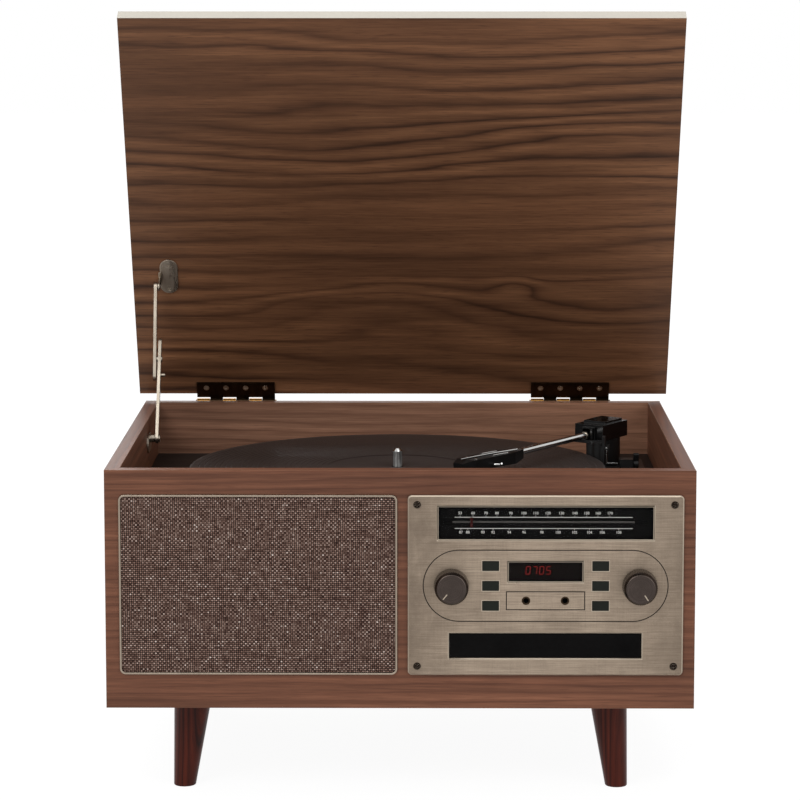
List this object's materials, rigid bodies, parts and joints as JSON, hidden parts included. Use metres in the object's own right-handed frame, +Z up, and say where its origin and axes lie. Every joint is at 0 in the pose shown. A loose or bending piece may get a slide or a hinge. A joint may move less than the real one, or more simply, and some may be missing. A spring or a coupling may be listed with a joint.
{
  "type": "stereo music centre",
  "caption": "Wooden cabinet on splayed legs, with a turntable under a hinged lid, a cloth-covered loudspeaker, and a metal fascia with a radio dial, knobs, buttons and a disc tray.",
  "frame": {"origin": "on the floor, under the middle of the cabinet", "axes": "+Z up; the front faces -Y; +X to the right as seen from the front"},
  "size_m": [0.41, 0.3568, 0.5323],
  "materials": {
    "walnut": "satin lacquered walnut",
    "dark_wood": "unfinished, stained dark",
    "leg_wood": "gloss lacquer, dark reddish brown",
    "deck_black": "satin black board",
    "brass": "satin",
    "bronze": "dark bronze plating",
    "nickel": "satin nickel",
    "steel": "zinc plated",
    "cloth": "woven tweed",
    "cone": "paper cone",
    "fascia_metal": "antique brushed",
    "window": "smoked",
    "scale_black": "matt, printed",
    "plastic_black": "satin black",
    "plastic_gloss": "gloss black",
    "board_green": "circuit board",
    "rubber": "matt",
    "alloy": "turned",
    "knob_metal": "satin turned",
    "pointer_red": "red",
    "chrome": "polished"
  },
  "bodies": {
    "cabinet": {"left_side_board": "walnut", "right_side_board": "walnut", "front_board": "walnut", "back_board": "walnut", "bottom_board": "dark_wood", "deck_board": "deck_black", "corner_cleats": "dark_wood", "legs": "leg_wood", "leg_bolts": "steel", "cabinet_screws": "steel", "hinge_fixed_leaves": "brass", "hinge_pins": "brass", "stay_wall_bracket": "nickel", "grille_trim_frame": "nickel", "grille_cloth": "cloth", "speaker_drivers": "steel", "speaker_cones": "cone", "fascia_plate": "fascia_metal", "fascia_screws": "bronze", "fascia_windows": "window", "dial_scale_plate": "scale_black", "jack_sockets": "plastic_black", "circuit_boards": "board_green", "rotary_controls": "steel", "cd_loader_case": "steel", "cd_laser_unit": "steel", "mains_transformer": "steel", "rear_panel": "plastic_black", "turntable_motor": "steel", "drive_belt": "rubber", "platter_bearing": "brass", "tonearm_base": "plastic_black"},
    "lid": {"lid_board": "walnut", "hinge_lid_leaves": "bronze", "lid_screws": "brass", "stay_lid_bracket": "nickel"},
    "stay_upper": {"stay_upper_arm": "nickel"},
    "stay_lower": {"stay_lower_arm": "nickel"},
    "turntable": {"platter": "alloy", "platter_mat": "rubber", "platter_spindle": "chrome"},
    "pulley": {"motor_pulley": "brass"},
    "arm_housing": {"tonearm_gimbal": "plastic_black"},
    "arm": {"tonearm_tube": "chrome", "headshell": "plastic_black", "cartridge": "plastic_black"},
    "cue_handle": {"cue_lever": "plastic_black"},
    "cue_platform": {"cue_lift": "plastic_black"},
    "rest_clip": {"arm_clip": "nickel"},
    "speed_switch": {"speed_lever": "nickel"},
    "volume": {"volume_knob": "knob_metal"},
    "tuning": {"tuning_knob": "knob_metal"},
    "pointer": {"tuning_pointer": "pointer_red"},
    "tray": {"cd_tray": "plastic_gloss"},
    "button_left_top_cap": {"button_left_top": "plastic_black"},
    "button_left_middle_cap": {"button_left_middle": "plastic_black"},
    "button_left_bottom_cap": {"button_left_bottom": "plastic_black"},
    "button_right_top_cap": {"button_right_top": "plastic_black"},
    "button_right_middle_cap": {"button_right_middle": "plastic_black"},
    "button_right_bottom_cap": {"button_right_bottom": "plastic_black"}
  },
  "joints": [
    {"name": "lid_hinge", "type": "hinge", "parent": "cabinet", "child": "lid", "pos_m": [0, 0.16795, 0.22665], "axis": [1, 0, 0], "range_deg": [0, 62.5]},
    {"name": "stay_lower_pivot", "type": "hinge", "parent": "cabinet", "child": "stay_lower", "pos_m": [-0.1835, 0.067, 0.2134], "axis": [1, 0, 0], "range_deg": [0, 128.27]},
    {"name": "stay_upper_pivot", "type": "hinge", "parent": "lid", "child": "stay_upper", "pos_m": [-0.1871, 0.11118, 0.32303], "axis": [1, 0, 0], "range_deg": [-120.7, 0]},
    {"name": "platter_spin", "type": "hinge", "parent": "cabinet", "child": "turntable", "pos_m": [-0.003, 0, 0.201], "axis": [0, 0, 1], "continuous": true},
    {"name": "pulley_spin", "type": "hinge", "parent": "cabinet", "child": "pulley", "pos_m": [-0.0631, 0.0601, 0.193], "axis": [0, 0, 1], "continuous": true},
    {"name": "arm_swing", "type": "hinge", "parent": "cabinet", "child": "arm_housing", "pos_m": [0.152, 0.09, 0.216], "axis": [0, 0, 1], "range_deg": [-8, 24.6]},
    {"name": "arm_lift", "type": "hinge", "parent": "arm_housing", "child": "arm", "pos_m": [0.152, 0.09, 0.216], "axis": [-0.8348, 0.5505, 0], "range_deg": [0, 3.2]},
    {"name": "cue_turn", "type": "hinge", "parent": "cabinet", "child": "cue_handle", "pos_m": [0.173, 0.058, 0.196], "axis": [-1, 0, 0], "range_deg": [0, 50]},
    {"name": "cue_rise", "type": "slide", "parent": "cabinet", "child": "cue_platform", "axis": [0, 0, 1], "range_m": [0, 0.00175]},
    {"name": "clip_swing", "type": "hinge", "parent": "cabinet", "child": "rest_clip", "pos_m": [0.15223, 0.04898, 0.20993], "axis": [-0.153, -0.9882, 0], "range_deg": [0, 180]},
    {"name": "speed_slide", "type": "slide", "parent": "cabinet", "child": "speed_switch", "axis": [0, 1, 0], "range_m": [0, 0.016]},
    {"name": "volume_turn", "type": "hinge", "parent": "cabinet", "child": "volume", "pos_m": [0.0348, -0.1735, 0.14935], "axis": [0, 1, 0], "range_deg": [0, 270]},
    {"name": "tuning_turn", "type": "hinge", "parent": "cabinet", "child": "tuning", "pos_m": [0.1622, -0.1735, 0.14935], "axis": [0, 1, 0], "range_deg": [-85, 716]},
    {"name": "pointer_slide", "type": "slide", "parent": "cabinet", "child": "pointer", "axis": [1, 0, 0], "range_m": [-0.0134, 0.1126]},
    {"name": "button_left_top_press", "type": "slide", "parent": "cabinet", "child": "button_left_top_cap", "axis": [0, 1, 0], "range_m": [0, 0.001], "stiffness_N_per_m": 300},
    {"name": "button_left_middle_press", "type": "slide", "parent": "cabinet", "child": "button_left_middle_cap", "axis": [0, 1, 0], "range_m": [0, 0.001], "stiffness_N_per_m": 300},
    {"name": "button_left_bottom_press", "type": "slide", "parent": "cabinet", "child": "button_left_bottom_cap", "axis": [0, 1, 0], "range_m": [0, 0.001], "stiffness_N_per_m": 300},
    {"name": "button_right_top_press", "type": "slide", "parent": "cabinet", "child": "button_right_top_cap", "axis": [0, 1, 0], "range_m": [0, 0.001], "stiffness_N_per_m": 300},
    {"name": "button_right_middle_press", "type": "slide", "parent": "cabinet", "child": "button_right_middle_cap", "axis": [0, 1, 0], "range_m": [0, 0.001], "stiffness_N_per_m": 300},
    {"name": "button_right_bottom_press", "type": "slide", "parent": "cabinet", "child": "button_right_bottom_cap", "axis": [0, 1, 0], "range_m": [0, 0.001], "stiffness_N_per_m": 300},
    {"name": "tray_slide", "type": "slide", "parent": "cabinet", "child": "tray", "axis": [0, -1, 0], "range_m": [0, 0.13]}
  ],
  "couplings": [
    {"joint": "stay_lower_pivot", "follows": "lid_hinge", "ratio": 2.0492},
    {"joint": "stay_upper_pivot", "follows": "lid_hinge", "ratio": -1.9281},
    {"joint": "pulley_spin", "follows": "platter_spin", "ratio": 8.0833},
    {"joint": "cue_turn", "follows": "arm_lift", "ratio": 15.624},
    {"joint": "cue_rise", "follows": "arm_lift", "m_per_rad": 0.03102},
    {"joint": "pointer_slide", "follows": "tuning_turn", "m_per_rad": 0.009}
  ]
}
